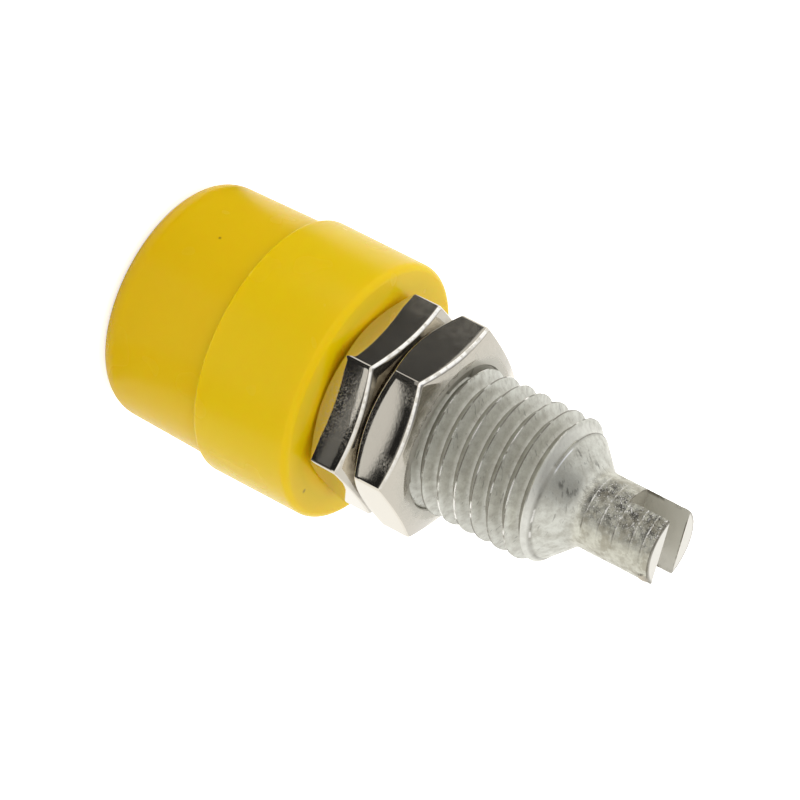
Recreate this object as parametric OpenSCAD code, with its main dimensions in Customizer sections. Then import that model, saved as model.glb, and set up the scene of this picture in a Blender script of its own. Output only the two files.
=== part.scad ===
// Panel-mount banana socket for a 4 mm plug, standing on its front face.
// The origin is the centre of the front face, and +Z runs along the axis to the solder pin.

/* [Insulating head] */
// Length of the head in front of the panel
head_len = 5.05; // [4:0.05:8]
// Diameter behind the rounded front edge
head_front_d = 9.85; // [9:0.05:10]
// Diameter at the seam, a little larger for mould draft
head_seam_d = 10.05; // [9.5:0.05:10.5]
// Radius of the rounded front edge
head_round = 1; // [0.4:0.1:1.4]
// Thickness of plastic in front of the metal
front_wall = 1.2; // [0.8:0.1:2]
// Diameter of the plug's way through the front wall
entry_d = 4.4; // [4.2:0.1:5]
// Width of the countersink round the plug's way
entry_lead = 0.4; // [0.1:0.05:0.6]
// Diameter of the spigot that fills the panel hole
spigot_d = 8; // [7.4:0.1:8.8]
// Length of the spigot
spigot_len = 3; // [1.5:0.1:3.2]

/* [Insulating bush] */
// Outer diameter of the bush
bush_d = 10.65; // [10:0.05:12]
// Length of the bush
bush_len = 4.45; // [4.2:0.05:7]
// Radius of the bush's rear edge
bush_rear_round = 0.4; // [0.1:0.05:0.8]
// Radius of the bush's edge at the seam
bush_seam_round = 0.12; // [0.05:0.01:0.3]
// Radial clearance between spigot and recess
recess_gap = 0.1; // [0.05:0.01:0.2]
// Clearance behind the end of the spigot
recess_end_gap = 0.1; // [0.05:0.01:0.3]
// Radial clearance between bush and thread
bush_thread_gap = 0.12; // [0.05:0.01:0.25]

/* [Socket body] */
// Diameter of the plug bore
plug_bore_d = 4; // [3.8:0.05:4.2]
// Depth of the plug bore's straight wall
plug_bore_len = 16.3; // [8:0.1:16.6]
// Point angle of the drill that made the bore
drill_angle = 118; // [90:1:140]
// Width of the lead-in at the bore's mouth
bore_lead = 0.4; // [0.1:0.05:0.6]
// Diameter of the collar held in the head
collar_d = 7.2; // [6.6:0.1:7.4]
// Length of the collar
collar_len = 1.6; // [0.8:0.1:2.4]
// Distance across the two flats that stop the collar turning
collar_flats = 6.4; // [5.8:0.1:6.5]
// Diameter of the shank between collar and thread
shank_d = 5.6; // [5:0.05:5.7]
// Outer diameter of the thread
thread_d = 5.95; // [5.8:0.01:6.2]
// Length of the thread beyond the bush
stud_len = 8.9; // [7:0.1:14]
// Length of the cone between thread and pin
cone_len = 1.5; // [0.8:0.1:3]
// Diameter of the solder pin
pin_d = 3.09; // [2.4:0.05:3.6]
// Length of the solder pin behind the cone
pin_len = 3.45; // [2.5:0.05:8]
// Width of the saw cut through the pin
slot_w = 1.53; // [0.6:0.01:1.8]
// Depth of the saw cut on the axis
slot_depth = 1.9; // [1:0.1:2.4]
// Radius of the saw that made the cut
saw_r = 10; // [8:0.5:20]

/* [Nuts] */
// Distance across the flats
nut_af = 7.6; // [7:0.05:8]
// Thickness of one nut
nut_t = 2.05; // [1.5:0.05:3]
// Diameter of the flat front face inside the chamfer
nut_front_d = 7.15; // [7:0.05:7.6]
// Angle of the front chamfer to the face
nut_front_angle = 30; // [15:1:35]
// Diameter of the flat at the top of the domed rear face
nut_rear_d = 6.8; // [6.75:0.05:7.6]
// Angle by which the rear face falls away to the corners
nut_rear_angle = 21; // [10:1:30]
// Radial clearance between nut and thread
nut_thread_gap = 0.05; // [0.02:0.01:0.1]
// Width of the countersink at both ends of the hole
nut_lead = 0.3; // [0.1:0.05:0.3]
// Angle at which the mounting nut came to stop
mounting_nut_turn = -8; // [-30:1:30]
// Angle at which the terminal nut came to stop
terminal_nut_turn = -12; // [-30:1:30]

/* [Hidden] */
$fn = 96;
// How far a cutting shape runs past the face that it cuts
past = 0.5;
// How far the chamfer's cone is carried past the corners of a nut
past_corner = 0.1;
// Heights of the faces along the axis
spigot_z = head_len + spigot_len;
bush_z = head_len + bush_len;
thread_end_z = bush_z + stud_len;
pin_z = thread_end_z + cone_len;
tip_z = pin_z + pin_len;
yellow_dull = "#dbb214";
yellow_bright = "#e0c214";
nickel = "#cfccc4";
tin = "#b9b6aa";

// Outline of the turned body before drilling and sawing
module body_blank() {
    thread_lead = (thread_d - shank_d) / 2;
    intersection() {
        translate([0, 0, front_wall]) cylinder(d = collar_d, h = collar_len);
        translate([-collar_d, -collar_flats / 2, front_wall]) cube([2 * collar_d, collar_flats, collar_len]);
    }
    rotate_extrude() polygon([
        [0, front_wall],
        [shank_d / 2, front_wall],
        [shank_d / 2, spigot_z],
        [shank_d / 2 + thread_lead, spigot_z + thread_lead],
        [thread_d / 2, thread_end_z],
        [pin_d / 2, pin_z],
        [pin_d / 2, tip_z],
        [0, tip_z]
    ]);
}

// Bore for the plug, with a lead-in at the mouth and the drill's cone at the bottom
module plug_bore() {
    r = plug_bore_d / 2;
    bore_end_z = front_wall + plug_bore_len;
    drill_tip = r / tan(drill_angle / 2);
    rotate_extrude() polygon([
        [0, front_wall - past],
        [r + bore_lead + past, front_wall - past],
        [r, front_wall + bore_lead],
        [r, bore_end_z],
        [0, bore_end_z + drill_tip]
    ]);
}

// Cut left by a disc saw fed in from the tip, which rounds the floor of the slot
module saw_cut() {
    translate([0, 0, tip_z - slot_depth + saw_r]) rotate([90, 0, 0])
        cylinder(r = saw_r, h = slot_w, center = true);
}

module socket_body() {
    color(tin) difference() {
        body_blank();
        plug_bore();
        saw_cut();
    }
}

// The head is moulded round the collar and shank, so the body's own outline makes its cavity
module insulating_head() {
    front_r = head_front_d / 2;
    color(yellow_dull) difference() {
        union() {
            rotate_extrude() union() {
                square([front_r - head_round, head_len]);
                translate([front_r - head_round, head_round]) circle(r = head_round);
                polygon([
                    [0, head_round],
                    [front_r, head_round],
                    [head_seam_d / 2, head_len],
                    [0, head_len]
                ]);
            }
            translate([0, 0, head_len - past]) cylinder(d = spigot_d, h = spigot_len + past);
        }
        body_blank();
        translate([0, 0, -past]) cylinder(d = entry_d, h = front_wall + 2 * past);
        translate([0, 0, -past]) cylinder(
            d1 = entry_d + 2 * (entry_lead + past),
            d2 = entry_d,
            h = entry_lead + past
        );
    }
}

// The bush slips over the thread and swallows the head's spigot
module insulating_bush() {
    r = bush_d / 2;
    recess_depth = spigot_len + recess_end_gap;
    color(yellow_bright) translate([0, 0, head_len]) difference() {
        rotate_extrude() union() {
            square([r - bush_rear_round, bush_len]);
            translate([0, bush_seam_round]) square([r, bush_len - bush_seam_round - bush_rear_round]);
            translate([r - bush_rear_round, bush_len - bush_rear_round]) circle(r = bush_rear_round);
            translate([r - bush_seam_round, bush_seam_round]) circle(r = bush_seam_round);
            square([r - bush_seam_round, bush_len / 2]);
        }
        translate([0, 0, -past]) cylinder(r = spigot_d / 2 + recess_gap, h = recess_depth + past);
        translate([0, 0, -past]) cylinder(r = thread_d / 2 + bush_thread_gap, h = bush_len + 2 * past);
    }
}

// Thin hexagon nut, chamfered in front and with a shallow cone for its rear face
module nut(z, turn) {
    hole_r = thread_d / 2 + nut_thread_gap;
    wide_r = nut_af / 2 / cos(30) + past_corner;
    front_h = (wide_r - nut_front_d / 2) * tan(nut_front_angle);
    rear_h = (wide_r - nut_rear_d / 2) * tan(nut_rear_angle);
    color(nickel) translate([0, 0, z]) rotate([0, 0, turn]) difference() {
        intersection() {
            cylinder(d = nut_af / cos(30), h = nut_t, $fn = 6);
            rotate_extrude() polygon([
                [0, 0],
                [nut_front_d / 2, 0],
                [wide_r, front_h],
                [wide_r, nut_t - rear_h],
                [nut_rear_d / 2, nut_t],
                [0, nut_t]
            ]);
        }
        rotate_extrude() polygon([
            [0, -past],
            [hole_r + nut_lead + past, -past],
            [hole_r, nut_lead],
            [hole_r, nut_t - nut_lead],
            [hole_r + nut_lead + past, nut_t + past],
            [0, nut_t + past]
        ]);
    }
}

module mounting_nut() {
    nut(bush_z, mounting_nut_turn);
}

module terminal_nut() {
    nut(bush_z + nut_t, terminal_nut_turn);
}

socket_body();
insulating_head();
insulating_bush();
mounting_nut();
terminal_nut();
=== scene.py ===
# Panel banana socket for a 4 mm plug: yellow head and bush, two nickel nuts, tinned thread and solder pin
import math
import bmesh
import bpy
from mathutils import Matrix, Vector, noise


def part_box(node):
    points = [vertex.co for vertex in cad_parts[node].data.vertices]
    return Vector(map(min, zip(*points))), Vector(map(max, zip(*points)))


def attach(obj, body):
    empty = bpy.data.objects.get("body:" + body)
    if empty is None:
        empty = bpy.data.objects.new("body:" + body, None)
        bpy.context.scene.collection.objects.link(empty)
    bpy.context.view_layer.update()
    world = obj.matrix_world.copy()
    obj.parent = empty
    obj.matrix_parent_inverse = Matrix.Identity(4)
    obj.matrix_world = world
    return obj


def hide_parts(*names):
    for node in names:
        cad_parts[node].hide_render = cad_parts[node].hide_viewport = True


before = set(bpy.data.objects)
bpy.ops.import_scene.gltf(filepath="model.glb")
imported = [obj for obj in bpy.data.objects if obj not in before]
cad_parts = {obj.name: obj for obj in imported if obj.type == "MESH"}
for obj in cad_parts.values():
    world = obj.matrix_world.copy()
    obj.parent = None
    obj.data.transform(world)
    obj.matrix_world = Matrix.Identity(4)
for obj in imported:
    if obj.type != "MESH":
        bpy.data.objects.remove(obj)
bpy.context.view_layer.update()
mm = 0.001
roundSteps = 240  # columns round every turned piece
white = (1.0, 1.0, 1.0, 1.0)


# small helpers

def linearColour(hexText):
    channels = [int(hexText[i:i + 2], 16) / 255 for i in (1, 3, 5)]
    return [c / 12.92 if c <= 0.04045 else ((c + 0.055) / 1.055) ** 2.4 for c in channels] + [1.0]


def perSize(sizeMm):
    return 1 / (sizeMm * mm)  # texture scale that gives one feature per size


def addNode(tree, kind, inputs, **settings):
    # an input is a plain value, a socket, or a node, which passes on its first output in use
    node = tree.nodes.new("ShaderNode" + kind)
    for name, value in settings.items():
        setattr(node, name, value)
    for name, value in inputs.items():
        if isinstance(value, bpy.types.Node):
            value = next(socket for socket in value.outputs if socket.enabled)
        if isinstance(value, bpy.types.NodeSocket):
            tree.links.new(value, node.inputs[name])
        else:
            node.inputs[name].default_value = value
    return node


def newMaterial(name):
    material = bpy.data.materials.new(name)
    material.use_nodes = True
    material.node_tree.nodes.clear()
    return material, material.node_tree


def fromAxis(tree, place):
    # distance from the socket's own axis
    across = addNode(tree, "VectorMath", {0: place, 1: (1, 1, 0)}, operation="MULTIPLY")
    return addNode(tree, "VectorMath", {0: across}, operation="LENGTH")


def nearSpot(tree, place, spot):
    # grows from nothing, farMm away from the spot, to its full share at coreMm
    away = addNode(tree, "VectorMath", {0: place, 1: [v * mm for v in spot["placeMm"]]}, operation="DISTANCE")
    return addNode(tree, "MapRange", {
        "Value": away,
        "From Min": spot["farMm"] * mm,
        "From Max": spot["coreMm"] * mm,
        "To Max": spot["share"],
    })


def nearSpots(tree, place, spots, reached=0.0):
    # the most that any of several spots gives
    for spot in spots:
        reached = addNode(tree, "Math", {0: nearSpot(tree, place, spot), 1: reached}, operation="MAXIMUM")
    return reached


def nearLevel(tree, value, level, far, core, share=1.0):
    # the same growth for how far a height or an angle is from a level
    above = addNode(tree, "Math", {0: value, 1: level}, operation="SUBTRACT")
    away = addNode(tree, "Math", {0: above}, operation="ABSOLUTE")
    return addNode(tree, "MapRange", {"Value": away, "From Min": far, "From Max": core, "To Max": share})


def atHeight(tree, z, mark, base=0.0):
    # a mark that runs all round
    far, core = mark["farMm"] * mm, mark["coreMm"] * mm
    return nearLevel(tree, z, base + mark["heightMm"] * mm, far, core, mark["share"])


def onSide(tree, angle, side):
    # azimuths past 180 degrees are negative in the material
    middle, far = math.radians(side["azimuthDeg"] - 360), math.radians(side["spreadDeg"])
    return nearLevel(tree, angle, middle, far, far * side["core"], side["share"])


def layCoats(tree, colour, coats):
    # lays each coat over what is there, as thickly as its share says
    if isinstance(colour, str):
        colour = linearColour(colour)
    for share, coat in coats:
        if isinstance(coat, str):
            coat = linearColour(coat)
        colour = addNode(tree, "Mix", {"Factor": share, "A": colour, "B": coat}, data_type="RGBA")
    return colour


def polar(radius, angle, z):
    return Vector((radius * math.cos(angle), radius * math.sin(angle), z)) * mm


def arc(centreR, centreZ, radius, startDeg, endDeg, count):
    angles = [math.radians(startDeg + (endDeg - startDeg) * i / count) for i in range(count + 1)]
    return [(centreR + radius * math.cos(a), centreZ + radius * math.sin(a)) for a in angles]


def spread(start, end, count):
    return [start + (end - start) * i / count for i in range(count + 1)]


def ringOf(bm, radius, z):
    if radius == 0:
        return [bm.verts.new((0, 0, z * mm))]
    return [bm.verts.new(polar(radius, 2 * math.pi * k / roundSteps, z)) for k in range(roundSteps)]


def joinRings(bm, lower, upper):
    count = max(len(lower), len(upper))
    for k in range(count):
        n = (k + 1) % count
        if len(lower) == 1:
            bm.faces.new((lower[0], upper[n], upper[k]))
        elif len(upper) == 1:
            bm.faces.new((lower[k], lower[n], upper[0]))
        else:
            bm.faces.new((lower[k], lower[n], upper[n], upper[k]))


def joinLoop(bm, rings):
    for i, ring in enumerate(rings):
        joinRings(bm, ring, rings[(i + 1) % len(rings)])


def newObject(bm, name):
    mesh = bpy.data.meshes.new(name)
    bm.to_mesh(mesh)
    bm.free()
    made = bpy.data.objects.new(name, mesh)
    bpy.context.scene.collection.objects.link(made)
    return made


def finishPiece(bm, name, node, body, material, sharpDeg=28):
    bmesh.ops.recalc_face_normals(bm, faces=bm.faces)
    for face in bm.faces:
        face.smooth = True
    for edge in bm.edges:
        edge.smooth = edge.calc_face_angle(0) < math.radians(sharpDeg)
    piece = newObject(bm, name)
    piece.data.materials.append(material)
    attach(piece, body)
    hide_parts(node)
    print("built", name, len(piece.data.polygons), "faces")


# moulded polyamide, semi-gloss: an even saturated yellow with a soft, slightly wavy shine

def mouldedPolyamide(name, look):
    material, tree = newMaterial(name)
    place = addNode(tree, "TexCoord", {}).outputs["Object"]
    flow = addNode(tree, "TexNoise", {"Vector": place, "Scale": perSize(3.0), "Detail": 3.0})
    coats = [(flow, look["flowColour"])]
    # painted bounce light: a warmer, brighter yellow round the nut, behind the given height
    if "warm" in look:
        warm = look["warm"]
        z = addNode(tree, "SeparateXYZ", {"Vector": place}).outputs["Z"]
        close = addNode(tree, "MapRange", {
            "Value": fromAxis(tree, place),
            "From Min": warm["farMm"] * mm,
            "From Max": warm["coreMm"] * mm,
            "To Max": warm["share"],
        })
        behind = addNode(tree, "Math", {0: z, 1: warm["heightMm"] * mm}, operation="GREATER_THAN")
        coats.append((addNode(tree, "Math", {0: close, 1: behind}, operation="MULTIPLY"), warm["colour"]))
    coats += [(nearSpot(tree, place, speck), speck["colour"]) for speck in look["specks"]]
    shine = addNode(tree, "TexNoise", {"Vector": place, "Scale": perSize(1.6), "Detail": 1.0})
    roughness = addNode(tree, "MapRange", {
        "Value": shine,
        "To Min": look["roughness"][0],
        "To Max": look["roughness"][1],
    })
    grain = addNode(tree, "TexNoise", {
        "Vector": place,
        "Scale": perSize(0.25),  # real grain is near 0.02 mm, drawn coarser so that it shows
        "Detail": 4.0,
    })
    shader = addNode(tree, "BsdfPrincipled", {
        "Base Color": layCoats(tree, look["colour"], coats),
        "Roughness": roughness,
        "IOR": 1.53,
        "Specular IOR Level": look["shine"],
        "Subsurface Weight": 0.6,
        "Subsurface Radius": (1.0, 0.45, 0.05),
        "Subsurface Scale": look["depthMm"] * mm,
        "Normal": addNode(tree, "Bump", {"Height": grain, "Strength": 0.001, "Distance": 0.02 * mm}),
    })
    addNode(tree, "OutputMaterial", {"Surface": shader})
    return material


# insulating head

head = {
    "frontRoundMm": 1.0,
    "draftMm": 0.1,  # the head is this much slimmer, on the radius, at its front
    "lengthMm": 5.05,
    "entryRadiusMm": 2.2,
    "entryLeadMm": 0.4,
    "frontWallMm": 1.2,
    "collarRadiusMm": 3.6,
    "collarLengthMm": 1.6,
    "shankRadiusMm": 2.8,
    "spigotRadiusMm": 4.0,
    "spigotLeadMm": 0.1,
    "seamRoundMm": 0.1,
    "rimMm": 0.02,  # a narrow band keeps the edge of the countersink crisp
}
headLook = {
    "colour": "#dcb802",
    "flowColour": "#d7b302",
    "roughness": (0.23, 0.3),
    "shine": 0.15,
    "depthMm": 0.9,  # light that goes in comes out again this far away
    "specks": [
        {"placeMm": (-4.25, -2.58, 2.93), "farMm": 0.08, "coreMm": 0.032, "share": 0.75, "colour": "#6b5410"},
    ],
}


def buildHead(shape, material):
    bm = bmesh.new()
    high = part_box("insulating_head")[1]
    seamR, top = high.x / mm, high.z / mm
    draft, length = shape["draftMm"], shape["lengthMm"]
    frontR = seamR - draft
    edge, soft = shape["frontRoundMm"], shape["seamRoundMm"]
    entry, lead = shape["entryRadiusMm"], shape["entryLeadMm"]
    spigot, spigotLead = shape["spigotRadiusMm"], shape["spigotLeadMm"]
    wall = shape["frontWallMm"]
    collarEnd = wall + shape["collarLengthMm"]
    outline = [(entry, lead), (entry + lead, 0), (entry + lead + shape["rimMm"], 0)]
    outline += arc(frontR - edge, edge, edge, -90, 0, 16)
    outline += [(frontR + draft * t, edge + (length - soft - edge) * t) for t in spread(0, 1, 6)[1:]]
    outline += arc(seamR - soft, length - soft, soft, 0, 90, 4)[1:]
    outline += [
        (spigot, length),
        (spigot, top - spigotLead),
        (spigot - spigotLead, top),
        (shape["shankRadiusMm"], top),
        (shape["shankRadiusMm"], collarEnd),
        (shape["collarRadiusMm"], collarEnd),
        (shape["collarRadiusMm"], wall),
        (entry, wall),
    ]
    joinLoop(bm, [ringOf(bm, r, z) for r, z in outline])
    finishPiece(bm, "yellowHead", "insulating_head", "root", material)


# insulating bush

bush = {
    "rearRoundMm": 0.3,
    "seamRoundMm": 0.2,
    "recessRadiusMm": 4.1,
    "recessDepthMm": 3.1,
    "recessRimMm": 0.1,
    "holeRadiusMm": 3.095,
    "holeLeadMm": 0.15,
}
bushLook = {
    "colour": "#debe01",
    "flowColour": "#d9b801",
    # painted light that has bounced between nut and bush: a warmer, brighter yellow round the nut
    "warm": {"heightMm": 9.3, "farMm": 4.4, "coreMm": 3.8, "share": 0.85, "colour": "#f6c40c"},
    "roughness": (0.23, 0.3),
    "shine": 0.15,
    "depthMm": 0.9,
    "specks": [
        {"placeMm": (3.42, -3.08, 9.5), "farMm": 0.12, "coreMm": 0.048, "share": 0.75, "colour": "#8a6c14"},
    ],
}


def buildBush(shape, material):
    bm = bmesh.new()
    low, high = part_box("insulating_bush")
    outerR = high.x / mm
    start, end = low.z / mm, high.z / mm
    rear, seam = shape["rearRoundMm"], shape["seamRoundMm"]
    recess, floor = shape["recessRadiusMm"], start + shape["recessDepthMm"]
    hole, lead = shape["holeRadiusMm"], shape["holeLeadMm"]
    outline = [(recess, start), (recess + shape["recessRimMm"], start)]
    outline += arc(outerR - seam, start + seam, seam, -90, 0, 5)
    outline += [(outerR, z) for z in spread(start + seam, end - rear, 6)[1:-1]]
    outline += arc(outerR - rear, end - rear, rear, 0, 90, 12)
    outline += [(hole + lead, end), (hole, end - lead), (hole, floor), (recess, floor)]
    joinLoop(bm, [ringOf(bm, r, z) for r, z in outline])
    finishPiece(bm, "yellowBush", "insulating_bush", "bush", material)


# bright nickel plate on stamped nuts: a near mirror with a warm tint, clouded where the barrel scuffed it

nutShape = {
    "acrossFlatsMm": 7.6,
    "frontRadiusMm": 3.575,
    "frontDeg": 30,
    "rearRadiusMm": 3.4,
    "rearDeg": 21,
    "frontEdgeMm": 0.05,
    "rearEdgeMm": 0.2,
    "cornerRoundMm": 0.17,
    "holeRadiusMm": 2.99,
    "leadMm": 0.05,
    "plainMm": 0.08,  # the hole is smooth this far in from each end
    "threadClearanceMm": 0.015,
    "stopDeg": {"mounting_nut": -8, "terminal_nut": -12},  # where each nut came to stop
    "sharpDeg": 19,
}
nickelLook = {
    "grains": {  # size of one feature in mm, detail, roughness
        "cloud": (0.08, 6.0, 0.7),
        "smeared": (0.5, 5.0, 0.5),
        "streaks": (0.3, 4.0, 0.5),
        "pits": (0.12, 5.0, 0.5),
    },
    "colour": "#d0cabd",
    "roughness": 0.05,
    "scuffRoughness": 0.16,
    "dust": 0.24,  # share of light that the scuffs scatter
    "smear": {
        "heightMm": 13.3,
        "farMm": 3.3,
        "coreMm": 2.7,
        "raggedMm": 0.9,
        "share": 0.85,
        "dullness": 0.6,
        "roughness": 0.35,
        "colour": "#c3c0b4",
    },
    "scuffs": [
        {"placeMm": (-0.53, -3.76, 10.5), "farMm": 2.0, "coreMm": 0.8, "share": 1.0},
        {"placeMm": (0.35, -4.05, 13.1), "farMm": 0.5, "coreMm": 0.2, "share": 1.0},
        {"placeMm": (-2.3, -3.3, 13.1), "farMm": 0.5, "coreMm": 0.2, "share": 1.0},
    ],
    "hazes": [
        {"placeMm": (-4.15, 0.6, 10.6), "farMm": 1.3, "coreMm": 0.26, "share": 0.1},
        {"placeMm": (-4.0, 0.8, 12.6), "farMm": 1.8, "coreMm": 0.36, "share": 0.08},
        {"placeMm": (-3.6, -0.9, 12.6), "farMm": 4.0, "coreMm": 0.8, "share": 0.045},
    ],
    "hazeStreaks": 2.0,
    "groove": {"heightMm": 11.55, "farMm": 0.22, "coreMm": 0.08, "share": 1.0},
    "nutGapShadeColour": "#5a5040",
    "outsideMm": 3.3,  # from the axis: the edge lines stay off the rim of the hole
    "sheenSideDeg": 202,  # the edges carry painted highlights where they face this side
    "edges": [  # the rounded edge turns from looking sideways, 0, to looking back, 1
        # first a painted white highlight, then a painted dark reflection line
        {"from": 0.2, "to": 0.8, "colour": "#fbf9f4"},
        {"from": 0.86, "to": 0.905, "colour": "#4c4840"},
    ],
    "edgeFades": (0.03, -0.02),  # how soft both ends of such a line are
}


def brightNickel(look):
    material, tree = newMaterial("bright nickel plate")
    place = addNode(tree, "TexCoord", {}).outputs["Object"]
    normal = addNode(tree, "NewGeometry", {}).outputs["Normal"]
    z = addNode(tree, "SeparateXYZ", {"Vector": place}).outputs["Z"]
    facingBack = addNode(tree, "SeparateXYZ", {"Vector": normal}).outputs["Z"]
    radius = fromAxis(tree, place)
    grains = {}
    for name, (sizeMm, detail, rough) in look["grains"].items():
        settings = {"Vector": place, "Scale": perSize(sizeMm), "Detail": detail, "Roughness": rough}
        grains[name] = addNode(tree, "TexNoise", settings)
    clouded = addNode(tree, "MapRange", {"Value": grains["cloud"], "From Min": 0.46, "From Max": 0.66})
    scuffed = addNode(tree, "Math", {
        0: clouded,
        1: nearSpots(tree, place, look["scuffs"]),
    }, operation="MULTIPLY")
    roughness = addNode(tree, "MapRange", {
        "Value": scuffed,
        "To Min": look["roughness"],
        "To Max": look["scuffRoughness"],
    })
    # tin from the thread is smeared round the hole of the outer nut
    smear = look["smear"]
    ragged = addNode(tree, "Math", {
        0: grains["smeared"],
        1: -smear["raggedMm"] * mm,
        2: radius,
    }, operation="MULTIPLY_ADD")
    around = addNode(tree, "MapRange", {
        "Value": ragged,
        "From Min": smear["farMm"] * mm,
        "From Max": smear["coreMm"] * mm,
        "To Max": smear["share"],
    })
    behind = addNode(tree, "Math", {0: z, 1: smear["heightMm"] * mm}, operation="GREATER_THAN")
    smeared = addNode(tree, "Math", {0: around, 1: behind}, operation="MULTIPLY")
    # painted shade in the groove between the two nuts, broken up by streaks
    inGroove = atHeight(tree, z, look["groove"])
    hollowShade = addNode(tree, "Math", {0: inGroove, 1: grains["streaks"]}, operation="MULTIPLY")
    coats = [(hollowShade, look["nutGapShadeColour"]), (smeared, smear["colour"])]
    # the rounded rear edges carry a painted white highlight on one side, uneven along its length, with a
    # painted dark reflection line on their inner side
    sheenSide = math.radians(look["sheenSideDeg"])
    towardsSheen = addNode(tree, "VectorMath", {
        0: normal,
        1: (math.cos(sheenSide), math.sin(sheenSide), 0),
    }, operation="DOT_PRODUCT")
    wearAndSheen = addNode(tree, "MapRange", {"Value": towardsSheen, "From Min": 0.28, "From Max": 0.62})
    uneven = addNode(tree, "MapRange", {
        "Value": grains["streaks"],
        "From Min": 0.38,
        "From Max": 0.52,
        "To Min": 0.25,
    })
    paintedSheen = addNode(tree, "Math", {0: wearAndSheen, 1: uneven}, operation="MULTIPLY")
    outside = addNode(tree, "Math", {0: radius, 1: look["outsideMm"] * mm}, operation="GREATER_THAN")
    atRearEdge = addNode(tree, "Math", {0: paintedSheen, 1: outside}, operation="MULTIPLY")
    for edge in look["edges"]:
        ends = []
        for level, fade in zip((edge["from"], edge["to"]), look["edgeFades"]):
            ends.append(addNode(tree, "MapRange", {
                "Value": facingBack,
                "From Min": level - fade,
                "From Max": level + fade,
            }))
        between = addNode(tree, "Math", {0: ends[0], 1: ends[1]}, operation="MULTIPLY")
        onEdge = addNode(tree, "Math", {0: between, 1: atRearEdge}, operation="MULTIPLY")
        coats.append((onEdge, edge["colour"]))
    # a thin haze lies on the upper flats
    dusty = addNode(tree, "Math", {0: scuffed, 1: look["dust"]}, operation="MULTIPLY")
    for haze in look["hazes"]:
        veil = nearSpot(tree, place, haze)
        streaked = addNode(tree, "Math", {0: veil, 1: grains["streaks"]}, operation="MULTIPLY")
        dusty = addNode(tree, "Math", {
            0: streaked,
            1: look["hazeStreaks"],
            2: dusty,
        }, operation="MULTIPLY_ADD")
    dull = addNode(tree, "Math", {0: smeared, 1: smear["dullness"], 2: dusty}, operation="MULTIPLY_ADD")
    shader = addNode(tree, "BsdfPrincipled", {
        "Base Color": layCoats(tree, look["colour"], coats),
        "Metallic": addNode(tree, "Math", {0: 1.0, 1: dull}, operation="SUBTRACT"),
        "Roughness": addNode(tree, "Math", {
            0: smeared,
            1: smear["roughness"],
            2: roughness,
        }, operation="MULTIPLY_ADD"),
        "Normal": addNode(tree, "Bump", {"Height": grains["pits"], "Strength": 0.03, "Distance": 0.01 * mm}),
    })
    addNode(tree, "OutputMaterial", {"Surface": shader})
    return material


def hexRadius(shape, offFlatDeg):
    # distance from the axis to the hexagon with its corners rounded
    apothem, corner = shape["acrossFlatsMm"] / 2, shape["cornerRoundMm"]
    off = math.radians(abs(offFlatDeg))
    centre = (apothem - corner) / math.cos(math.pi / 6)
    if off <= math.atan(centre * 0.5 / apothem):
        return apothem / math.cos(off)
    aside = centre * math.sin(math.pi / 6 - off)
    return centre * math.cos(math.pi / 6 - off) + math.sqrt(corner ** 2 - aside ** 2)


def buildNut(shape, name, node, material):
    bm = bmesh.new()
    low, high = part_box(node)
    bottom, top = low.z / mm, high.z / mm
    hole, lead, plain = (shape[key] for key in ("holeRadiusMm", "leadMm", "plainMm"))
    frontR, rearR = shape["frontRadiusMm"], shape["rearRadiusMm"]
    frontEdge, rearEdge = shape["frontEdgeMm"], shape["rearEdgeMm"]
    frontSlope, rearSlope = (math.radians(shape[key]) for key in ("frontDeg", "rearDeg"))
    # columns crowd together at the corners, which are rounded
    side = [0, 0.4, 0.8] + spread(1.5, 58.5, 38) + [59.2, 59.6]
    steps = [60 * k + a for k in range(6) for a in side]
    angles = [math.radians(shape["stopDeg"][node] + a) for a in steps]
    columns = []
    for step, angle in zip(steps, angles):
        outer = hexRadius(shape, step % 60 - 30)
        frontRise = (outer - frontEdge - frontR) * math.tan(frontSlope)
        rearFall = (outer - rearEdge - rearR) * math.tan(rearSlope)
        frontZ = bottom + frontRise + frontEdge / math.cos(frontSlope)
        rearZ = top - rearFall - rearEdge / math.cos(rearSlope)
        points = [(hole + lead, bottom), (frontR, bottom)]
        points += arc(outer - frontEdge, frontZ, frontEdge, shape["frontDeg"] - 90, 0, 4)
        points += [(outer, z) for z in spread(frontZ, rearZ, 5)[1:-1]]
        points += arc(outer - rearEdge, rearZ, rearEdge, 0, 90 - shape["rearDeg"], 8)
        points += [(rearR, top), (hole + lead, top), (hole, top - lead), (hole, top - plain)]
        points += [(hole, bottom + plain), (hole, bottom + lead)]
        columns.append([bm.verts.new(polar(r, angle, z)) for r, z in points])
    rings = [list(ring) for ring in zip(*columns)]
    for a, b in zip(rings, rings[1:-2]):
        joinRings(bm, a, b)
    joinRings(bm, rings[-2], rings[-1])
    joinRings(bm, rings[-1], rings[0])
    # the thread fills the hole between its two plain ends
    grow = shape["threadClearanceMm"]
    threadBand(bm, bodyShape, rings[-2], rings[-3], bottom + plain, top - plain, angles, grow)
    finishPiece(bm, name, node, node, material, shape["sharpDeg"])


# turned brass under dull tin plate: matte mottled grey, with painted glints on the polished crests, and tool
# rings on the pin

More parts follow.
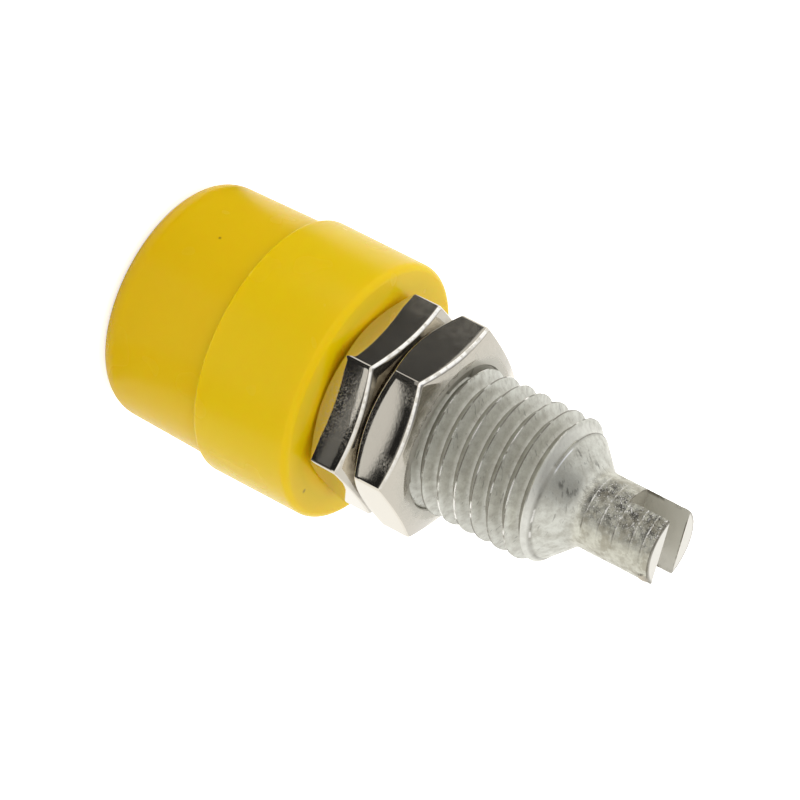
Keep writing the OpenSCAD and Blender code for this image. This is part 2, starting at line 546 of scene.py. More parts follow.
bodyShape = {
    "boreRadiusMm": 2.0,
    "boreMiddleMm": 9.0,  # a ring half way keeps the wall's faces short
    "boreEndMm": 17.5,
    "boreTipMm": 18.7,
    "boreLeadMm": 0.4,
    "frontMm": 1.2,
    "collarRadiusMm": 3.6,
    "collarFlatMm": 3.2,
    "collarEndMm": 2.8,
    "shankRadiusMm": 2.8,
    "threadStartMm": 8.05,
    "threadEndMm": 18.4,
    "crestRadiusMm": 2.975,
    "threadDepthMm": 0.45,
    "pitchMm": 0.75,
    "phaseMm": 0.0,  # moves the crests along the axis
    "crestWidthMm": 0.045,
    "shoulderEndMm": 18.8,  # a rounded land lies between the thread and the cone
    "shoulderBulgeMm": 0.03,
    "pinStartMm": 19.9,
    "pinRadiusMm": 1.545,
    "pinFootMm": (0.02, 0.06),  # the fillet under the pin: out from its side, up from its start
    "pinEndMm": [(0.02, 0.02), (0.05, 0)],  # its worn edge: in from its side, down from its tip
    "slotWidthMm": 1.53,
    "slotDepthMm": 1.9,
    "sawRadiusMm": 10.0,
    "burr": {"placeMm": (1.05, -1.13, 23.14), "reachMm": 0.22, "heightMm": 0.11, "droopMm": 0.07},
    "dentsMm": 0.012,
    "dentsPerMm": 6,
    "dentsFootMm": 0.3,  # the foot of the pin stays clean
    "dentsRimMm": 0.1,  # and so does all that lies deeper than this inside it
}
tinLook = {
    "grains": {  # size of one feature in mm, detail, roughness
        "mottle": (0.35, 8.0, 0.7),
        "clusters": (1.1, 1.0, 0.5),
        "grit": (0.09, 4.0, 0.65),
        "shade": (0.5, 2.0, 0.5),
        "blots": (0.45, 5.0, 0.65),
        "patchy": (1.3, 3.0, 0.5),
        "lengths": (0.8, 5.0, 0.5),
        "fine": (0.1, 6.0, 0.5),  # the plating's own grain is finer, drawn coarser so that it shows
    },
    "colour": "#dcdcd2",
    "dullColour": "#b4b1a5",
    "valleyShadeColour": "#938d7e",
    "valleyStartMm": 0.12,  # under the crests
    "leeShadeColour": "#7c786c",
    "scratchColour": "#85837b",
    "scratchMm": (0.5, 0.09, 0.22),  # size of one scratch along x, y and z
    "scratched": [
        {"placeMm": (-1.89, -0.56, 19.25), "farMm": 0.6, "coreMm": 0.2, "share": 0.11},
        {"placeMm": (-0.45, -1.6, 19.6), "farMm": 0.6, "coreMm": 0.2, "share": 0.11},
        {"placeMm": (-1.1, -1.3, 19.7), "farMm": 0.6, "coreMm": 0.2, "share": 0.11},
    ],
    "smudges": [
        {"placeMm": (-1.2, -1.81, 19.21), "farMm": 0.26, "coreMm": 0.08, "share": 1.0},
        {"placeMm": (-0.99, -1.64, 19.49), "farMm": 0.26, "coreMm": 0.08, "share": 1.0},
        {"placeMm": (-1.76, -0.27, 19.64), "farMm": 0.26, "coreMm": 0.08, "share": 1.0},
        {"placeMm": (-2.17, -0.79, 19.08), "farMm": 0.26, "coreMm": 0.08, "share": 1.0},
    ],
    # a painted highlight on the shoulder, painted shade in its groove, and a painted glint on the lip
    "shoulder": {"heightMm": 18.63, "farMm": 0.2, "coreMm": 0.12, "share": 0.5},
    "shoulderHighlightColour": "#efeee6",
    "groove": {"heightMm": 18.79, "farMm": 0.1, "coreMm": 0.03, "share": 0.5},
    "grooveShadeColour": "#96938a",
    "lip": {"heightMm": 18.88, "farMm": 0.028, "coreMm": 0.012, "share": 1.0},
    "lipSide": {"azimuthDeg": 218, "spreadDeg": 16, "core": 0.7, "share": 1.0},
    "lipGlintColour": "#ffffff",
    "ridge": {"heightMm": 18.8, "farMm": 0.04, "coreMm": 0.015, "share": 1.0},  # the shoulder's own edge
    "crestLineMm": (0.02, 0.005),
    "crestColour": "#f2f0ea",
    "crestShadowColour": "#706c61",
    "pinFadeMm": (-0.2, 0.5),  # the pin's colour comes in over this stretch, from where it starts
    "pinColour": "#e6e5e1",
    # a painted dark reflection on this side of the pin, broken up by grit
    "darkReflectionSide": {"azimuthDeg": 222, "spreadDeg": 50, "core": 0.3, "share": 1.0},
    "darkReflectionGrit": 1.6,
    "darkReflectionColour": "#5c5a55",
    "toolRingsMm": (20.3, 21.0, 21.67, 22.4, 22.89),
    "toolRingWidthMm": 0.05,
    "arcSide": {"azimuthDeg": 262, "spreadDeg": 26, "core": 0.5, "share": 0.75},
    "flakeRings": 0.14,
    "blotColour": "#999485",
    "hairline": {"heightMm": -0.045, "farMm": 0.04, "coreMm": 0.02, "share": 0.7},  # from the tip
    "edgeColour": "#6c675c",
    "burr": {"placeMm": (1.05, -1.13, 23.14), "farMm": 0.24, "coreMm": 0.19, "share": 0.8},
    "burrColour": "#b7afa0",
    "sawnColour": "#dad8ce",
    "sawnFarShadeColour": "#b5b2a7",
    "slotSlackMm": (0.003, 0.01),  # so that the slot's own walls and floor count as inside it
    "slotFloorShadeColour": "#b6b2a6",
    "wallEdgeMm": (0.07, 0.03),
    "wallEdgeGrit": 0.5,
    "wallEdgeColour": "#7d766a",
    "endColour": "#ece9e0",
    "endDepthMm": 0.01,
    "endRimMm": (0.14, 0.05),
    "endRimColour": "#a9a499",
    "roughness": (0.32, 0.48),
    "polish": 0.6,  # the polished crests have this share of the roughness
    "matteMetal": 0.65,
    "gritRelief": 1.2,
    "grainRelief": 0.25,
}


def tinPlate(shape, look):
    material, tree = newMaterial("dull tin plate over turned brass")
    place = addNode(tree, "TexCoord", {}).outputs["Object"]
    normal = addNode(tree, "NewGeometry", {}).outputs["Normal"]
    x, y, z = addNode(tree, "SeparateXYZ", {"Vector": place}).outputs
    facingBack = addNode(tree, "SeparateXYZ", {"Vector": normal}).outputs["Z"]
    angle = addNode(tree, "Math", {0: y, 1: x}, operation="ARCTAN2")
    radius = fromAxis(tree, place)
    grains = {}
    for name, (sizeMm, detail, rough) in look["grains"].items():
        settings = {"Vector": place, "Scale": perSize(sizeMm), "Detail": detail, "Roughness": rough}
        grains[name] = addNode(tree, "TexNoise", settings)
    crest, pin = shape["crestRadiusMm"], shape["pinRadiusMm"]
    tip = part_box("socket_body")[1].z
    patches = addNode(tree, "MapRange", {"Value": grains["mottle"], "From Min": 0.4, "From Max": 0.75})
    # painted shade in the valleys of the thread and on the flank that faces the nuts
    onThread = addNode(tree, "Math", {0: z, 1: shape["threadEndMm"] * mm}, operation="LESS_THAN")
    deep = addNode(tree, "MapRange", {
        "Value": radius,
        "From Min": (crest - look["valleyStartMm"]) * mm,
        "From Max": (crest - shape["threadDepthMm"]) * mm,
        "To Max": 0.2,
    })
    hollowShade = addNode(tree, "Math", {0: deep, 1: onThread}, operation="MULTIPLY")
    lee = addNode(tree, "MapRange", {
        "Value": facingBack,
        "From Min": -0.02,
        "From Max": -0.4,
        "To Max": 0.65,
    })
    leeOnThread = addNode(tree, "Math", {0: lee, 1: onThread}, operation="MULTIPLY")
    # short scratches, sparse on the thread and thicker on the cone
    drawn = addNode(tree, "VectorMath", {
        0: place,
        1: [perSize(size) for size in look["scratchMm"]],
    }, operation="MULTIPLY")
    marks = addNode(tree, "TexNoise", {"Vector": drawn, "Scale": 1.0, "Detail": 3.0})
    clusters = addNode(tree, "MapRange", {
        "Value": grains["clusters"],
        "From Min": 0.45,
        "From Max": 0.65,
        "To Max": 0.08,
    })
    gathered = nearSpots(tree, place, look["scratched"], clusters)
    scratched = addNode(tree, "MapRange", {
        "Value": addNode(tree, "Math", {0: marks, 1: gathered}, operation="ADD"),
        "From Min": 0.68,
        "From Max": 0.75,
        "To Max": 0.55,
    })
    # the shoulder between the last crest and the cone is rougher and carries a painted highlight, with
    # painted shade in the groove beside it, and a painted glint runs along part of the turn, where the tool
    # left a thin lip
    shoulder = atHeight(tree, z, look["shoulder"])
    onLip, nearLip = atHeight(tree, z, look["lip"]), onSide(tree, angle, look["lipSide"])
    lip = addNode(tree, "Math", {0: onLip, 1: nearLip}, operation="MULTIPLY")
    # and there are a few dark smudges
    torn = addNode(tree, "MapRange", {"Value": marks, "From Min": 0.47, "From Max": 0.56, "To Max": 0.85})
    smudged = nearSpots(tree, place, look["smudges"])
    smudges = addNode(tree, "Math", {0: smudged, 1: torn}, operation="MULTIPLY")
    colour = layCoats(tree, look["colour"], [
        (patches, look["dullColour"]),
        (hollowShade, look["valleyShadeColour"]),
        (leeOnThread, look["leeShadeColour"]),
        (scratched, look["scratchColour"]),
        (shoulder, look["shoulderHighlightColour"]),
        (atHeight(tree, z, look["groove"]), look["grooveShadeColour"]),
        (smudges, look["scratchColour"]),
        (lip, look["lipGlintColour"]),
    ])
    # the pin is a little darker all over, and one side of it carries a painted dark reflection, broken up by
    # grit
    before, beyond = look["pinFadeMm"]
    onPin = addNode(tree, "MapRange", {
        "Value": z,
        "From Min": (shape["pinStartMm"] + before) * mm,
        "From Max": (shape["pinStartMm"] + beyond) * mm,
    })
    colour = addNode(tree, "Mix", {
        "Factor": onPin,
        "A": colour,
        "B": linearColour(look["pinColour"]),
    }, data_type="RGBA", blend_type="MULTIPLY")
    band = addNode(tree, "Math", {0: onSide(tree, angle, look["darkReflectionSide"]), 1: onPin}, operation="MULTIPLY")
    wearAndSheen = addNode(tree, "MapRange", {
        "Value": addNode(tree, "Math", {
            0: grains["grit"],
            1: look["darkReflectionGrit"],
            2: grains["shade"],
        }, operation="MULTIPLY_ADD"),
        "From Min": 1.22,
        "From Max": 1.38,
    })
    darkReflectionWithGrit = addNode(tree, "Math", {0: band, 1: wearAndSheen}, operation="MULTIPLY")
    # the tool left a ridge at each step of its feed, with painted shade as a dark arc on one side, below the
    # painted dark reflection
    rings = 0.0
    for ringMm in look["toolRingsMm"]:
        ring = nearLevel(tree, z, ringMm * mm, look["toolRingWidthMm"] * mm, 0.0)
        rings = addNode(tree, "Math", {0: ring, 1: rings}, operation="MAXIMUM")
    broken = addNode(tree, "MapRange", {"Value": grains["shade"], "From Min": 0.38, "From Max": 0.6})
    arcs = addNode(tree, "Math", {0: rings, 1: broken}, operation="MULTIPLY")
    ridgeShade = addNode(tree, "Math", {0: onSide(tree, angle, look["arcSide"]), 1: arcs}, operation="MULTIPLY")
    # on the side with the painted dark reflection the plating flaked, mostly along the ridges
    flakes = addNode(tree, "MapRange", {
        "Value": addNode(tree, "Math", {
            0: rings,
            1: look["flakeRings"],
            2: grains["grit"],
        }, operation="MULTIPLY_ADD"),
        "From Min": 0.57,
        "From Max": 0.62,
    })
    flaked = addNode(tree, "Math", {0: band, 1: flakes}, operation="MULTIPLY")
    # flux left blotches, and a dark hairline runs round the end of the pin
    blots = addNode(tree, "MapRange", {
        "Value": grains["blots"],
        "From Min": 0.49,
        "From Max": 0.6,
        "To Max": 0.7,
    })
    blotted = addNode(tree, "Math", {0: blots, 1: onPin}, operation="MULTIPLY")
    # the sawn walls are clean metal, and the slot's floor rises towards the rim by x squared over twice
    # the saw's radius
    aside, below = look["slotSlackMm"]
    offMiddle = addNode(tree, "Math", {0: y}, operation="ABSOLUTE")
    halfSlot = (shape["slotWidthMm"] / 2 + aside) * mm
    inSlot = addNode(tree, "Math", {0: offMiddle, 1: halfSlot}, operation="LESS_THAN")
    bend = addNode(tree, "Math", {0: x, 1: -1 / (2 * shape["sawRadiusMm"] * mm)}, operation="MULTIPLY")
    levelled = addNode(tree, "Math", {0: x, 1: bend, 2: z}, operation="MULTIPLY_ADD")
    floorHeight = tip - (shape["slotDepthMm"] + below) * mm
    aboveFloor = addNode(tree, "Math", {0: levelled, 1: floorHeight}, operation="GREATER_THAN")
    sawn = addNode(tree, "Math", {0: inSlot, 1: aboveFloor}, operation="MULTIPLY")
    # painted shade: each wall darker towards its +x end, and the slot's floor darker
    alongWall = addNode(tree, "MapRange", {"Value": x, "From Min": -0.2 * mm, "From Max": pin * mm})
    onFloor = addNode(tree, "Math", {0: facingBack, 1: 0.6}, operation="GREATER_THAN")
    # the saw dragged the edges of the prongs, which are darker in places
    nearTip = addNode(tree, "MapRange", {
        "Value": z,
        "From Min": tip - look["wallEdgeMm"][0] * mm,
        "From Max": tip - look["wallEdgeMm"][1] * mm,
    })
    nearRim = addNode(tree, "MapRange", {
        "Value": radius,
        "From Min": (pin - look["endRimMm"][0]) * mm,
        "From Max": (pin - look["endRimMm"][1]) * mm,
    })
    wallEdge = addNode(tree, "Math", {0: nearTip, 1: nearRim}, operation="MAXIMUM")
    ragged = addNode(tree, "MapRange", {
        "Value": addNode(tree, "Math", {
            0: grains["grit"],
            1: look["wallEdgeGrit"],
            2: grains["shade"],
        }, operation="MULTIPLY_ADD"),
        "From Min": 0.62,
        "From Max": 0.82,
    })
    slotPaint = layCoats(tree, look["sawnColour"], [
        (alongWall, look["sawnFarShadeColour"]),
        (onFloor, look["slotFloorShadeColour"]),
        (addNode(tree, "Math", {0: wallEdge, 1: ragged}, operation="MULTIPLY"), look["wallEdgeColour"]),
    ])
    endPaint = layCoats(tree, look["endColour"], [(nearRim, look["endRimColour"])])
    atEnd = addNode(tree, "Math", {0: z, 1: tip - look["endDepthMm"] * mm}, operation="GREATER_THAN")
    # the crests and the edge of the shoulder are polished and carry painted glints in places, and painted
    # shadow in others
    atCrest = addNode(tree, "MapRange", {
        "Value": radius,
        "From Min": (crest - look["crestLineMm"][0]) * mm,
        "From Max": (crest - look["crestLineMm"][1]) * mm,
    })
    patchy = addNode(tree, "MapRange", {
        "Value": grains["patchy"],
        "From Min": 0.46,
        "From Max": 0.58,
        "To Max": 0.7,
    })
    atRidge = addNode(tree, "Math", {0: atHeight(tree, z, look["ridge"]), 1: patchy}, operation="MULTIPLY")
    atEdge = addNode(tree, "Math", {0: atCrest, 1: atRidge}, operation="MAXIMUM")
    bright = addNode(tree, "MapRange", {"Value": grains["lengths"], "From Min": 0.56, "From Max": 0.59})
    dark = addNode(tree, "MapRange", {
        "Value": grains["lengths"],
        "From Min": 0.57,
        "From Max": 0.5,
        "To Max": 0.85,
    })
    glintAndPolish = addNode(tree, "Math", {0: atEdge, 1: bright}, operation="MULTIPLY")
    shadowed = addNode(tree, "Math", {0: atEdge, 1: dark}, operation="MULTIPLY")
    colour = layCoats(tree, colour, [
        (darkReflectionWithGrit, look["darkReflectionColour"]),
        (ridgeShade, look["edgeColour"]),
        (flaked, look["crestColour"]),
        (blotted, look["blotColour"]),
        (atHeight(tree, z, look["hairline"], tip), look["edgeColour"]),
        (nearSpot(tree, place, look["burr"]), look["burrColour"]),
        (sawn, slotPaint),
        (atEnd, endPaint),
        (shadowed, look["crestShadowColour"]),
        (glintAndPolish, look["crestColour"]),
    ])
    dull = addNode(tree, "MapRange", {
        "Value": addNode(tree, "Math", {0: patches, 1: shoulder}, operation="ADD"),
        "To Min": look["roughness"][0],
        "To Max": look["roughness"][1],
    })
    polish = addNode(tree, "MapRange", {"Value": glintAndPolish, "To Min": 1.0, "To Max": look["polish"]})
    # relief: the feed ridges, grit on the side with the painted dark reflection, and a fine grain everywhere
    outside = addNode(tree, "Math", {
        0: radius,
        1: (pin - look["endRimMm"][1]) * mm,
    }, operation="GREATER_THAN")
    ridges = addNode(tree, "Math", {0: arcs, 1: outside}, operation="MULTIPLY")
    gritty = addNode(tree, "Math", {0: grains["grit"], 1: band}, operation="MULTIPLY")
    tooled = addNode(tree, "Math", {0: gritty, 1: look["gritRelief"], 2: ridges}, operation="MULTIPLY_ADD")
    soft = addNode(tree, "Math", {0: grains["fine"], 1: look["grainRelief"]}, operation="MULTIPLY")
    height = addNode(tree, "Math", {0: soft, 1: tooled}, operation="ADD")
    # the plating on the thread and the sawn walls are matte and scatter part of the light
    matte = addNode(tree, "Math", {0: onThread, 1: sawn}, operation="MAXIMUM")
    shader = addNode(tree, "BsdfPrincipled", {
        "Base Color": colour,
        "Metallic": addNode(tree, "MapRange", {"Value": matte, "To Min": 1.0, "To Max": look["matteMetal"]}),
        "Roughness": addNode(tree, "Math", {0: dull, 1: polish}, operation="MULTIPLY"),
        "Normal": addNode(tree, "Bump", {"Height": height, "Strength": 0.4, "Distance": 0.02 * mm}),
    })
    addNode(tree, "OutputMaterial", {"Surface": shader})
    return material


def blankRadius(shape, z):
    # outline of the turned blank, before the thread was cut
    crest, pin, threadEnd = (shape[key] for key in ("crestRadiusMm", "pinRadiusMm", "threadEndMm"))
    rise = shape["shankRadiusMm"] + (z - shape["threadStartMm"])
    coneSlope = (crest - pin) / (shape["pinStartMm"] - threadEnd)
    fall = crest - (z - threadEnd) * coneSlope
    along = (z - threadEnd) / (shape["shoulderEndMm"] - threadEnd)
    if 0 < along < 1:
        fall += shape["shoulderBulgeMm"] * 4 * along * (1 - along)
    return max(min(crest, rise, fall), pin)


def threadRadius(shape, angle, z):
    # keen crests over rounded valleys
    turns = (z - shape["phaseMm"]) / shape["pitchMm"] - angle / (2 * math.pi)
    fromCrest = abs(turns - round(turns)) * shape["pitchMm"]
    flank = (shape["pitchMm"] - shape["crestWidthMm"]) / 2
    down = max(fromCrest - shape["crestWidthMm"] / 2, 0) / flank
    cut = shape["crestRadiusMm"] - shape["threadDepthMm"] * (1 - (1 - down) ** 1.5)
    return min(cut, blankRadius(shape, z))


def threadBand(bm, shape, lowRing, highRing, zLow, zHigh, angles, grow=0):
    # rows follow the helix, so each crest is one clean edge, and both ends close on plain rings
    pitch = shape["pitchMm"]
    crest = shape["crestWidthMm"] / 2
    flank = pitch / 2 - crest
    offsets = [-crest, 0, crest]
    offsets += [crest + flank * t for t in (0.15, 0.3, 0.45, 0.6, 0.8, 1)]
    offsets += [pitch - crest - flank * t for t in (0.8, 0.6, 0.45, 0.3, 0.15)]
    gap = 0.02  # rows keep this far from the plain rings
    columns = []
    for angle in angles:
        rows = {}
        for turn in range(int(zLow / pitch) - 2, int(zHigh / pitch) + 2):
            for j, offset in enumerate(offsets):
                z = shape["phaseMm"] + pitch * (turn + angle / (2 * math.pi)) + offset
                if zLow + gap < z < zHigh - gap:
                    radius = threadRadius(shape, angle, z) + grow
                    rows[turn * len(offsets) + j] = bm.verts.new(polar(radius, angle, z))
        columns.append(rows)
    for k, here in enumerate(columns):
        n = (k + 1) % len(columns)
        shift = len(offsets) if n == 0 else 0
        there = {row - shift: vert for row, vert in columns[n].items()}
        shared = sorted(set(here) & set(there))
        for a, b in zip(shared, shared[1:]):
            bm.faces.new((here[a], there[a], there[b], here[b]))
        first, last = shared[0], shared[-1]
        low = [lowRing[k], lowRing[n]] + [there[r] for r in sorted(there) if r <= first]
        low += [here[r] for r in sorted(here, reverse=True) if r <= first]
        high = [there[r] for r in sorted(there) if r >= last] + [highRing[n], highRing[k]]
        high += [here[r] for r in sorted(here, reverse=True) if r >= last]
        bm.faces.new(low)
        bm.faces.new(high)


def sawCutter(shape, tip):
    # a slab with the saw's round floor, longer than the pin is wide
    bm = bmesh.new()
    saw = shape["sawRadiusMm"]
    reach = shape["pinRadiusMm"] + 0.5
    half = shape["slotWidthMm"] / 2
    centreZ = tip - shape["slotDepthMm"] + saw
    sides = []
    for y in (-half, half):
        outline = [(x, centreZ - math.sqrt(saw ** 2 - x * x)) for x in spread(-reach, reach, 16)]
        outline += [(reach, tip + 1), (-reach, tip + 1)]
        sides.append([bm.verts.new(Vector((x, y, z)) * mm) for x, z in outline])
    bm.faces.new(sides[0])
    bm.faces.new(sides[1][::-1])
    for i in range(len(sides[0])):
        n = (i + 1) % len(sides[0])
        bm.faces.new((sides[0][i], sides[1][i], sides[1][n], sides[0][n]))
    bmesh.ops.recalc_face_normals(bm, faces=bm.faces)
    return newObject(bm, "sawCutter")


def buildBody(shape, material):
    bm = bmesh.new()
    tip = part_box("socket_body")[1].z / mm
    bore, lead, front = (shape[key] for key in ("boreRadiusMm", "boreLeadMm", "frontMm"))
    collar, collarEnd, shank = (shape[key] for key in ("collarRadiusMm", "collarEndMm", "shankRadiusMm"))
    threadLow, threadHigh = shape["threadStartMm"], shape["shoulderEndMm"]
    lower = [
        (0, shape["boreTipMm"]),
        (bore, shape["boreEndMm"]),
        (bore, shape["boreMiddleMm"]),
        (bore, front + lead),
        (bore + lead, front),
        (collar, front),
        (collar, collarEnd),
        (shank, collarEnd),
        (shank, threadLow),
    ]
    lowRings = [ringOf(bm, r, z) for r, z in lower]
    flat = shape["collarFlatMm"] * mm
    for ring in lowRings[5:7]:
        for vert in ring:
            vert.co.y = min(max(vert.co.y, -flat), flat)
    # the pin has many rings, so that the dents have vertices to move
    pin, start = shape["pinRadiusMm"], shape["pinStartMm"]
    outward, upward = shape["pinFootMm"]
    upper = [(blankRadius(shape, z), z) for z in spread(threadHigh, start - 0.1, 5)]
    upper += [(pin + outward, start + upward)]
    upper += [(pin, z) for z in spread(start + 0.2, tip - 0.06, 46)]
    upper += [(pin - inward, tip - down) for inward, down in shape["pinEndMm"]]
    upper += [(0, tip)]
    highRings = [ringOf(bm, r, z) for r, z in upper]
    for rings in (lowRings, highRings):
        for a, b in zip(rings, rings[1:]):
            joinRings(bm, a, b)
    angles = [2 * math.pi * k / roundSteps for k in range(roundSteps)]
    threadBand(bm, shape, lowRings[-1], highRings[0], threadLow, threadHigh, angles)
    bmesh.ops.recalc_face_normals(bm, faces=bm.faces)
    blank = newObject(bm, "tinnedBlank")
    cutter = sawCutter(shape, tip)
    cut = blank.modifiers.new("saw cut", "BOOLEAN")
    cut.object = cutter
    cut.operation = "DIFFERENCE"
    cut.solver = "EXACT"
    bpy.context.view_layer.update()
    sawn = bmesh.new()
    sawn.from_object(blank, bpy.context.evaluated_depsgraph_get())
    for spare in (blank, cutter):
        bpy.data.objects.remove(spare)
    # the pin's skin is dented, but not the cone or the slot, and the saw left a burr at one corner
    burr = shape["burr"]
    centre = Vector(burr["placeMm"])
    for vert in sawn.verts:
        spot = vert.co / mm
        outward = Vector((spot.x, spot.y, 0))
        if spot.z > start + shape["dentsFootMm"] and outward.length > pin - shape["dentsRimMm"]:
            outward.normalize()
            near = max(1 - ((spot - centre).length / burr["reachMm"]) ** 2, 0)
            dent = shape["dentsMm"] * noise.noise(spot * shape["dentsPerMm"])
            lift = burr["heightMm"] * math.sqrt(near) + dent
            vert.co += (outward * lift - Vector((0, 0, burr["droopMm"] * near))) * mm
    finishPiece(sawn, "tinnedBody", "socket_body", "root", material)


# build

buildHead(head, mouldedPolyamide("moulded polyamide, head yellow", headLook))
buildBush(bush, mouldedPolyamide("moulded polyamide, bush yellow", bushLook))
nickel = brightNickel(nickelLook)
buildNut(nutShape, "mountingNut", "mounting_nut", nickel)
buildNut(nutShape, "terminalNut", "terminal_nut", nickel)
buildBody(bodyShape, tinPlate(bodyShape, tinLook))


# stage: pale floor, even world, and cards on the floor that only reflections see

stage = {
    "floorColour": "#f4f3f0",
    "floorHalfMm": 700,
    "floorDropMm": 0.01,
    "floorGlow": 0.65,  # for the camera, which keeps a faint shadow
    "floorShine": 0.12,  # for reflections
    "worldStrength": 1.0,
    "darkSpots": [
        {"azimuthDeg": 218, "elevationDeg": 72, "innerDeg": 18, "outerDeg": 36, "level": 0.24},
        {"azimuthDeg": 130, "elevationDeg": 52, "innerDeg": 6, "outerDeg": 24, "level": 0.5},
    ],
    "lightSide": {"azimuthDeg": 96, "elevationDeg": 42, "most": 1.5, "least": 0.58},
}
cards = {
    "cardUnder": {"azimuth": 190, "spread": 100, "nearMm": 5.5, "farMm": 29, "liftMm": 0.01, "level": 0.03,
                  "softDeg": 12},
    "cardUnderMid": {"azimuth": 262, "spread": 44, "nearMm": 5.5, "farMm": 29, "liftMm": 0.01, "level": 0.6},
    "cardUnderLow": {"azimuth": 297, "spread": 26, "nearMm": 5.5, "farMm": 29, "liftMm": 0.01, "level": 0.15},
    "cardNear": {"azimuth": 222, "spread": 160, "nearMm": 29, "farMm": 62, "liftMm": 0.01, "level": 0.38,
                 "softDeg": 30},
    "cardUp": {"azimuth": 164, "spread": 30, "nearMm": 20, "farMm": 35, "liftMm": 0.02, "level": 0.055},
    "cardGap": {"azimuth": 189, "spread": 20, "nearMm": 20, "farMm": 35, "liftMm": 0.03, "level": 1.0},
    "cardCorner": {"azimuth": 230, "spread": 64, "nearMm": 20, "farMm": 33, "liftMm": 0.03, "level": 0.03},
    "cardLeft": {"azimuth": 277, "spread": 30, "nearMm": 21, "farMm": 38, "liftMm": 0.03, "level": 0.02},
    "greyStreak": {"azimuth": 280.7, "spread": 9, "nearMm": 25.4, "farMm": 27, "liftMm": 0.05, "level": 0.16},
}
paleDisc = {
    "azimuth": 272.7,
    "distanceMm": 28.4,
    "longMm": 3.1,
    "shortMm": 2.6,
    "liftMm": 0.05,
    "level": 0.85,
}


def buildFloor(look):
    bm = bmesh.new()
    bmesh.ops.create_grid(bm, x_segments=8, y_segments=8, size=look["floorHalfMm"] * mm)
    floor = newObject(bm, "floor")
    floor.location.z = -look["floorDropMm"] * mm
    material, tree = newMaterial("white paper sweep")
    paths = addNode(tree, "LightPath", {}).outputs
    bounced = addNode(tree, "Math", {
        0: paths["Is Glossy Ray"],
        1: paths["Is Transmission Ray"],
    }, operation="MAXIMUM")
    mirrored = addNode(tree, "Math", {0: bounced, 1: look["floorShine"]}, operation="MULTIPLY")
    lift = addNode(tree, "Math", {
        0: paths["Is Camera Ray"],
        1: look["floorGlow"],
        2: mirrored,
    }, operation="MULTIPLY_ADD")
    glow = addNode(tree, "Emission", {"Color": white, "Strength": lift})
    paper = addNode(tree, "BsdfDiffuse", {"Color": linearColour(look["floorColour"])})
    addNode(tree, "OutputMaterial", {"Surface": addNode(tree, "AddShader", {0: paper, 1: glow})})
    floor.data.materials.append(material)


def placeCard(bm, name, card):
    # lies on the floor and is seen by reflections alone
    piece = newObject(bm, name)
    material, tree = newMaterial(name)
    level = card["level"]
    if "softDeg" in card:
        place = addNode(tree, "TexCoord", {}).outputs["Object"]
        turned = addNode(tree, "VectorRotate", {
            "Vector": place,
            "Angle": -math.radians(card["azimuth"]),
        }, rotation_type="Z_AXIS")
        axes = addNode(tree, "SeparateXYZ", {"Vector": turned}).outputs
        angle = addNode(tree, "Math", {0: axes["Y"], 1: axes["X"]}, operation="ARCTAN2")
        level = addNode(tree, "MapRange", {
            "Value": addNode(tree, "Math", {0: angle}, operation="ABSOLUTE"),
            "From Min": math.radians(card["spread"] / 2 - card["softDeg"]),
            "From Max": math.radians(card["spread"] / 2),
            "To Min": card["level"],
            "To Max": 1.0,
        })
    glow = addNode(tree, "Emission", {"Color": white, "Strength": level})
    addNode(tree, "OutputMaterial", {"Surface": glow})
    piece.data.materials.append(material)
    for ray in ("camera", "diffuse", "transmission", "volume_scatter", "shadow"):
        setattr(piece, "visible_" + ray, False)


def buildCard(name, card):
    bm = bmesh.new()
    angles = [math.radians(card["azimuth"] + card["spread"] * t) for t in spread(-0.5, 0.5, 40)]
    near, far = (
        [bm.verts.new(polar(radius, angle, card["liftMm"])) for angle in angles]
        for radius in (card["nearMm"], card["farMm"])
    )
    for k in range(len(angles) - 1):
        bm.faces.new((near[k], far[k], far[k + 1], near[k + 1]))
    placeCard(bm, name, card)


def buildDisc(name, disc):
    # an ellipse whose short axis points at the object
    bm = bmesh.new()
    azimuth = math.radians(disc["azimuth"])
    centre = polar(disc["distanceMm"], azimuth, disc["liftMm"])
    towards = polar(disc["shortMm"], azimuth, 0)
    across = polar(disc["longMm"], azimuth + math.pi / 2, 0)
    angles = [2 * math.pi * k / 48 for k in range(48)]
    bm.faces.new([bm.verts.new(centre + towards * math.cos(a) + across * math.sin(a)) for a in angles])
    placeCard(bm, name, disc)


def bearing(place):
    azimuth, elevation = (math.radians(place[key]) for key in ("azimuthDeg", "elevationDeg"))
    level = math.cos(elevation)
    return (math.cos(azimuth) * level, math.sin(azimuth) * level, math.sin(elevation))


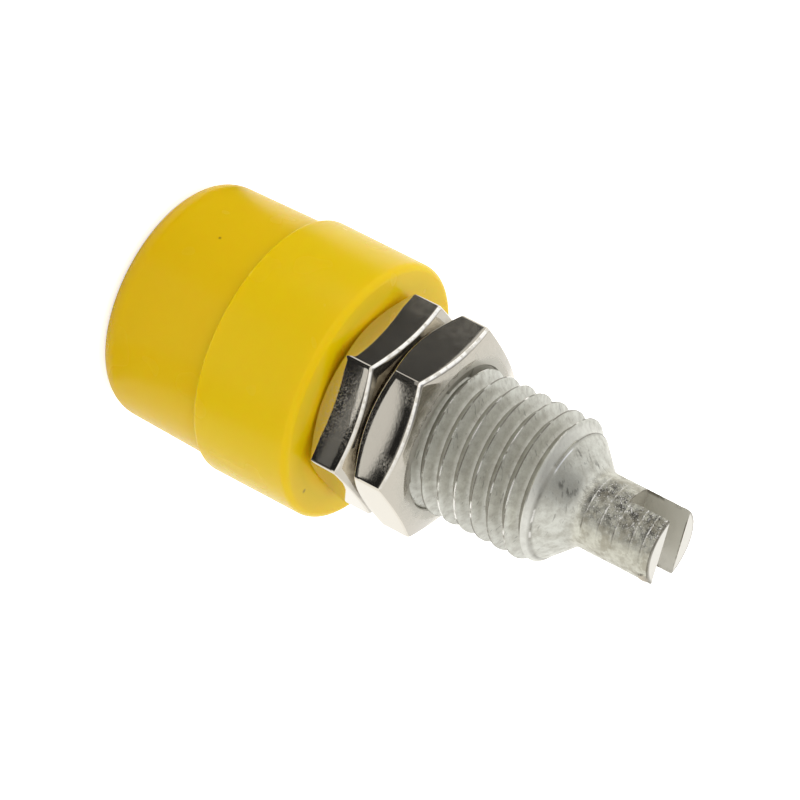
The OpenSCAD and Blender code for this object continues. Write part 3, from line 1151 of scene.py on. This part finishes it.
def buildWorld(look):
    # reflections see two darker patches of ceiling, and more light falls from the side away from the camera
    world = bpy.data.worlds.new("white room with darker patches of ceiling")
    bpy.context.scene.world = world
    world.use_nodes = True
    tree = world.node_tree
    tree.nodes.clear()
    outward = addNode(tree, "TexCoord", {}).outputs["Generated"]
    mirrored = look["worldStrength"]
    for spot in look["darkSpots"]:
        near = addNode(tree, "VectorMath", {0: outward, 1: bearing(spot)}, operation="DOT_PRODUCT")
        dimmed = addNode(tree, "MapRange", {
            "Value": near,
            "From Min": math.cos(math.radians(spot["outerDeg"])),
            "From Max": math.cos(math.radians(spot["innerDeg"])),
            "To Min": 1.0,
            "To Max": spot["level"],
        })
        mirrored = addNode(tree, "Math", {0: dimmed, 1: mirrored}, operation="MULTIPLY")
    side = look["lightSide"]
    falling = addNode(tree, "MapRange", {
        "Value": addNode(tree, "VectorMath", {0: outward, 1: bearing(side)}, operation="DOT_PRODUCT"),
        "From Min": -1.0,
        "From Max": 1.0,
        "To Min": side["least"],
        "To Max": side["most"],
    })
    strength = addNode(tree, "Mix", {
        "Factor": addNode(tree, "LightPath", {}).outputs["Is Glossy Ray"],
        "A": falling,
        "B": mirrored,
    }, data_type="FLOAT")
    sky = addNode(tree, "Background", {"Color": white, "Strength": strength})
    addNode(tree, "OutputWorld", {"Surface": sky})


buildFloor(stage)
for name, card in cards.items():
    buildCard(name, card)
buildDisc("paleDisc", paleDisc)
buildWorld(stage)
print("stage set")


# camera, fitted to the photograph's outline

view = {
    "frameSize": 800,
    "focalPx": 4800,
    "anchorMm": 9.6,  # height on the axis of the point that lands on anchorPx
    "anchorPx": (372.0, 394.15),
    "distanceMm": 183.0,
    "tiltDeg": 25.2,
    "rollDeg": 27.165,
    "turnDeg": 26.7,
    "sensorMm": 36,
    "clipMm": (10, 5000),
}


def aimCamera(view):
    tilt, roll, turn = (math.radians(view[key]) for key in ("tiltDeg", "rollDeg", "turnDeg"))
    # the socket's own axes as the camera sees them: right, down, into the picture
    axisZ = Vector((math.cos(tilt) * math.cos(roll), math.cos(tilt) * math.sin(roll), -math.sin(tilt)))
    aside = Vector((-math.sin(roll), math.cos(roll), 0))
    across = axisZ.cross(aside)
    axisX = aside * math.cos(turn) + across * math.sin(turn)
    axisY = across * math.cos(turn) - aside * math.sin(turn)
    right, down, inward = (Vector((axisX[i], axisY[i], axisZ[i])) for i in range(3))
    perPx = view["distanceMm"] / view["focalPx"]
    x, y = (p - view["frameSize"] / 2 for p in view["anchorPx"])
    offset = right * x * perPx + down * y * perPx + inward * view["distanceMm"]
    camera = bpy.data.objects.new("camera", bpy.data.cameras.new("camera"))
    bpy.context.scene.collection.objects.link(camera)
    camera.data.sensor_width = view["sensorMm"]
    camera.data.lens = view["sensorMm"] * view["focalPx"] / view["frameSize"]
    camera.data.clip_start, camera.data.clip_end = (distance * mm for distance in view["clipMm"])
    turned = Matrix((right, -down, -inward)).transposed().to_4x4()
    camera.matrix_world = Matrix.Translation((Vector((0, 0, view["anchorMm"])) - offset) * mm) @ turned
    bpy.context.scene.camera = camera


aimCamera(view)
print("camera aimed")
bpy.context.scene.view_settings.view_transform = "Standard"
